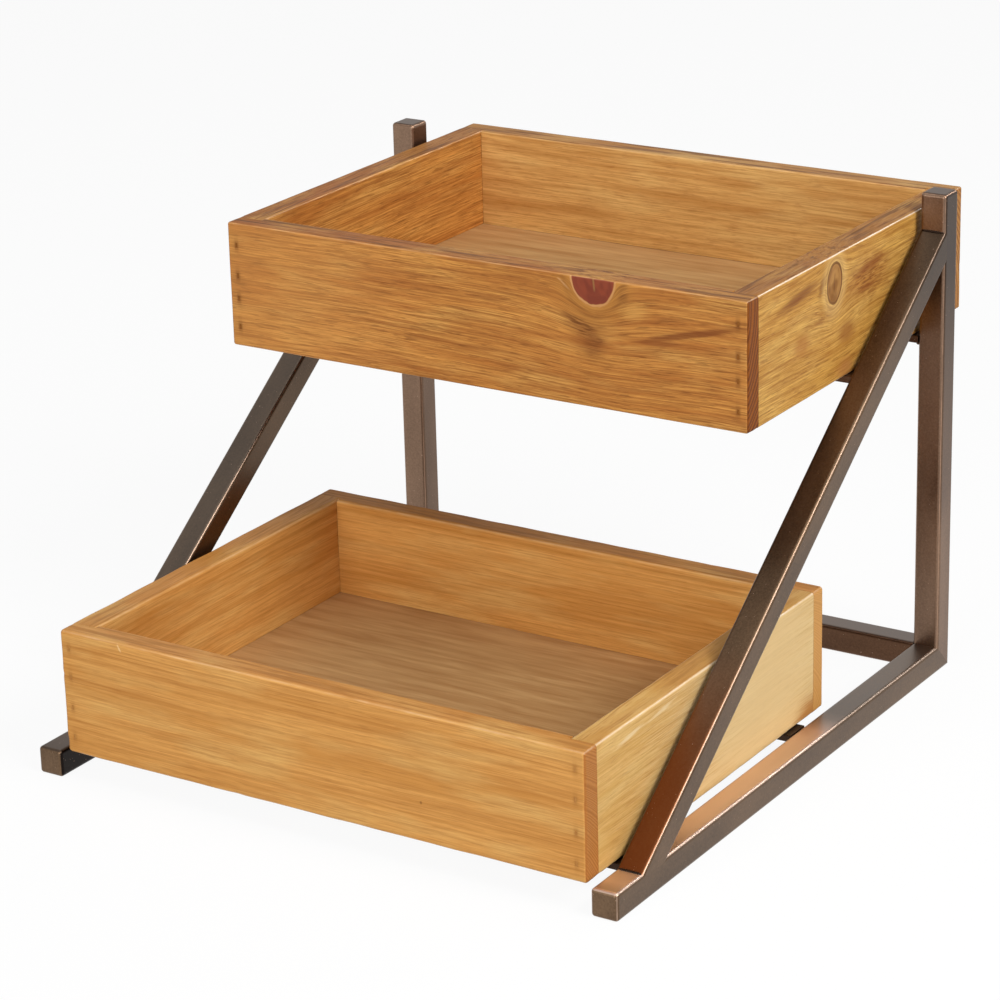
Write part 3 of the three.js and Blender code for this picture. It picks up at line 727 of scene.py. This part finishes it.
def putCap(name, axis, outwards, material):
    # A plate with round outer edges, and behind it a plug: the slab less the four strips round the plug
    low, high = boxOf(name)
    bore, outer = tubes["wall"] + tubes["plugPlay"], int(outwards > 0)
    radii = np.full((2, 3), tubes["radius"])
    radii[1 - outer, axis] = tubes["plugRadius"]
    cuts = []
    for other in ((axis + 1) % 3, (axis + 2) % 3):
        for edge, place in ((0, high[other] - bore), (1, low[other] + bore)):
            cut = [low - 1, high + 1]
            cut[edge][other] = place
            cut[outer][axis] = (high if outer else low)[axis] - outwards * tubes["cap"]
            cuts.append(cut)
    points, faces, marks = slabSurface(low, high, radii, cuts, tubes["capSteps"], tubes["capSpacing"])
    # From the tangent of half the angle to the sine of the angle, as the tubes have it
    marks["arris"] = 2 * marks["arris"] / (1 + marks["arris"] ** 2)
    aside, top = np.abs(points[:, 0]), onFace(points[:, 2], high[2])
    # Caps take their tubes' painted marks: copper reflection on the rail tops, painted shade on the left rail
    # and on the uprights' tops and outer faces, and a weaker arris highlight on the left rail
    if "rail" in name:
        paint(marks, "rubbedAndPaintedLight", top, tubeMarks["leftRail"] if "left" in name else 1)
    if "left_rail" in name:
        paint(marks, "paintedShade", top, tubeMarks["leftRailPaintedShade"])
        paint(marks, "paintedShade", onFace(aside, aside.min()), tubeMarks["railPaintedShade"])
        marks["arris"] *= tubeMarks["leftArris"]
    if "upright" in name:
        paint(marks, "paintedShade", top, tubeMarks["capPaintedShade"])
        paint(marks, "paintedShade", onFace(aside, aside.max()), tubeMarks["uprightPaintedShade"])
    putPiece(f"{name}_steel", points, faces, "frame", material, [name], marks)


def putWeld(name, start, end, material):
    radius, *shifts = welds.get(name, welds["bar"])
    for side, sign in (("left", -1), ("right", 1)):
        ends = [(np.array(corner) + shift) * [sign, 1, 1] for corner, shift in zip((start, end), shifts)]
        points, faces, marks = beadSurface(*ends, radius, seed=len(name) + sign)
        putPiece(f"{name}_{side}_weld", points, faces, "frame", material, (), marks)


def makeFrame():
    side, half, depth = tubes["side"], tubes["side"] / 2, tubes["weldDepth"]
    legLow, legHigh = boxOf("right_sloping_leg")
    slope = math.atan2(legHigh[2] - legLow[2], legHigh[1] - legLow[1])
    coats = {key: bronzeMaterial(f"bronze_lacquered_steel_{key}", turn, look) for key, turn, look in (
        ("rail", (0, 0, -math.pi / 2), railLook), ("upright", (0, math.pi / 2, 0), uprightLook),
        ("leg", (-slope, 0, -math.pi / 2), legLook), ("bar", (0, 0, 0), barLook))}
    # A near-black copy of the bronze for the painted shadow line at the leg joints
    shadowLineWeld = bronzeMaterial("weld_painted_shadow_line", (0, 0, 0), shadowLineLook)
    railLow, railHigh = boxOf("right_base_rail")
    uprightLow, uprightHigh = boxOf("right_upright")
    mitre = (0, 1, 1)
    corner = np.array([0, uprightHigh[1] - half, half])
    way = np.array([0, math.cos(slope), math.sin(slope)])
    under = np.array([0, math.sin(slope), -math.cos(slope)]) * half
    for name, sign in (("left", -1), ("right", 1)):
        x = sign * (railLow[0] + railHigh[0]) / 2
        middle = corner + [x, 0, 0]
        putTube(f"{name}_base_rail", (x, railLow[1], half), middle, (1, 0, 0), (0, 1, 0), mitre, coats["rail"])
        putTube(f"{name}_upright", middle, (x, middle[1], uprightHigh[2]), (1, 0, 0), mitre, (0, 0, 1),
                coats["upright"])
        # The leg runs on into the round arrises of the rail and the upright, as a weld ground flush does
        line = np.array([x, legLow[1], legLow[2]]) + under
        foot = line + way * (side - depth - line[2]) / way[2]
        head = line + way * (uprightLow[1] + depth - line[1]) / way[1]
        putTube(f"{name}_sloping_leg", foot, head, (1, 0, 0), (0, 0, 1), (0, 1, 0), coats["leg"])
        putCap(f"{name}_rail_cap", 1, -1, coats["rail"])
        putCap(f"{name}_upright_cap", 2, 1, coats["upright"])
    crossLow, crossHigh = boxOf("rear_cross_tube")
    putTube("rear_cross_tube", (crossLow[0], corner[1], half), (crossHigh[0], corner[1], half), (0, 1, 0),
            (1, 0, 0), (1, 0, 0), coats["bar"])
    for name in ("lower_front_bar", "lower_back_bar", "upper_front_bar", "upper_back_bar"):
        low, high = boxOf(name)
        points, faces, marks = slabSurface(low, high, (bars["endRadius"], bars["radius"], bars["radius"]),
                                           spacing=bars["spacing"])
        # The bars' arris highlights are painted at these strengths, and the lower bars get painted shade under
        # the box
        marks["arris"] *= bars["backWornAndHighlight" if name == "lower_back_bar" else "wornAndHighlight"]
        marks["paintedShade"] = np.full(len(points), bars["paintedShade"] if "lower" in name else 0.0)
        putPiece(f"{name}_steel", points, faces, "frame", coats["bar"], [name], marks)
        putWeld(name, (high[0], low[1], low[2]), (high[0], high[1], low[2]), coats["bar"])
    # Where a leg meets the rail and the upright a thin weld bead runs, painted near black as the shadow line
    # along that joint
    for name, y, z in (("leg_foot", legLow[1], side), ("leg_head", uprightLow[1], legHigh[2])):
        putWeld(name, (railLow[0], y, z), (railHigh[0], y, z), shadowLineWeld)
    x, y, z = crossHigh[0], crossLow[1], crossHigh[2]
    putWeld("rear_cross_tube_front", (x, y, 0), (x, y, z), coats["bar"])
    putWeld("rear_cross_tube_top", (x, y, z), (x, crossHigh[1], z), coats["bar"])


makeFrame()
print("frame made")

# Things that stay as the solids are: floor panels of thin birch plywood and dark steel nails
plywood = plainMaterial("birch_plywood_floor", ("#A97C4C", "#C79E6A"), (1 / 70, 1 / 6, 1 / 6), 3, 0.6, 0.0)
nailSteel = plainMaterial("bright_nail_steel", ("#6E6A66", "#8C8884"), (1.5, 1.5, 1.5), 2, 0.45, 1.0)
for name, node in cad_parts.items():
    if name.endswith("_floor") or "_nail_" in name:
        node.data.materials.clear()
        node.data.materials.append(plywood if name.endswith("_floor") else nailSteel)
print("solids finished")

# Studio: a floor and a surround that look white, a soft key high on the right, a broad fill in front, a small
# lamp behind on the right that draws the bright line along the top arrises, and a weak one overhead. Lit is
# the surround's light and seen is its look: two heights, from level (0) to straight up (1), and the
# brightness at each.
studio = dict(floorHalf=8000.0, floorColour="#B8B8B8", shown=0.86, glow=1.08, aim=(0, 0, 0.15),
              lit=(0.1, 0.75, 0.38, 0.1), seen=(0.42, 0.62, 1.0, 0.75))
lamps = {"key": {"from": (2.1, -0.4, 1.95), "size": 1.3, "watts": 60.0},
         "fill": {"from": (0.1, -3.0, 1.2), "size": 1.8, "watts": 62.0},
         "rim": {"from": (0.96, 2.2, 1.57), "size": 0.45, "watts": 6.0},
         "top": {"from": (-0.2, 0.3, 2.6), "size": 1.6, "watts": 8.0}}
# Camera values fitted to the photograph's corners: place in metres, angles in degrees, focal length in pixels
lens = dict(place=(1.18589, -1.86654, 0.95917), azimuth=32.843, elevation=20.109, roll=-1.508, pixels=3480.6,
            imagePixels=1000, sensor=36.0)


def seenWhite(node):
    # 1 for rays from the camera and for those mirrored or let through by the object, 0 for the light it gets
    seen = 0.0
    for name in ("Is Camera Ray", "Is Glossy Ray", "Is Transmission Ray"):
        seen = node("Math MAXIMUM", [seen, node("LightPath", out=name)])
    return seen


def makeStudio():
    half = studio["floorHalf"] * mm
    mesh = bpy.data.meshes.new("studio_floor")
    corners = [(-half, -half, 0), (half, -half, 0), (half, half, 0), (-half, half, 0)]
    mesh.from_pydata(corners, [], [(0, 1, 2, 3)])
    floor = addObject("studio_floor", mesh)
    material, node = newMaterial("white_studio_floor")
    plain = node("BsdfDiffuse", {"Color": hexColour(studio["floorColour"])})
    glow = node("Emission", {"Strength": studio["glow"]})
    share = node("Math MULTIPLY", [seenWhite(node), studio["shown"]])
    node("OutputMaterial", {"Surface": node("MixShader", {0: share, 1: plain, 2: glow})})
    mesh.materials.append(material)

    world = bpy.data.worlds.new("studio_surround")
    bpy.context.scene.world = world
    world.use_nodes = True
    world.node_tree.nodes.clear()
    node = partial(addNode, world.node_tree)
    height = node("SeparateXYZ", [node("TexCoord", out="Generated")], out="Z")
    lit, seen = (node("MapRange", [height, *studio[key]], interpolation_type="SMOOTHSTEP")
                 for key in ("lit", "seen"))
    shown = node("Mix", {0: seenWhite(node), 2: lit, 3: seen})
    node("OutputWorld", {"Surface": node("Background", {"Strength": shown})})

    for name, lamp in lamps.items():
        light = bpy.data.lights.new(name, "AREA")
        light.size, light.energy = lamp["size"], lamp["watts"]
        made = addObject(name, light)
        made.location = lamp["from"]
        aim = np.array(studio["aim"]) - np.array(lamp["from"])
        made.rotation_euler = Vector(aim).to_track_quat("-Z", "Y").to_euler()


def makeCamera():
    azimuth, elevation, roll = (math.radians(lens[key]) for key in ("azimuth", "elevation", "roll"))
    ahead = np.array([-math.sin(azimuth) * math.cos(elevation), math.cos(azimuth) * math.cos(elevation),
                      -math.sin(elevation)])
    right = np.cross(ahead, [0, 0, 1])
    right /= np.linalg.norm(right)
    up = np.cross(right, ahead)
    turnedRight = right * math.cos(roll) + up * math.sin(roll)
    turnedUp = up * math.cos(roll) - right * math.sin(roll)
    data = bpy.data.cameras.new("photo_camera")
    data.sensor_width = lens["sensor"]
    data.lens = lens["pixels"] / lens["imagePixels"] * lens["sensor"]
    camera = addObject("photo_camera", data)
    matrix = np.eye(4)
    matrix[:3] = np.stack([turnedRight, turnedUp, -ahead, lens["place"]], 1)
    camera.matrix_world = Matrix(matrix.tolist())
    bpy.context.scene.camera = camera


makeStudio()
makeCamera()
bpy.context.scene.view_settings.view_transform = "Standard"
print("studio and camera made")
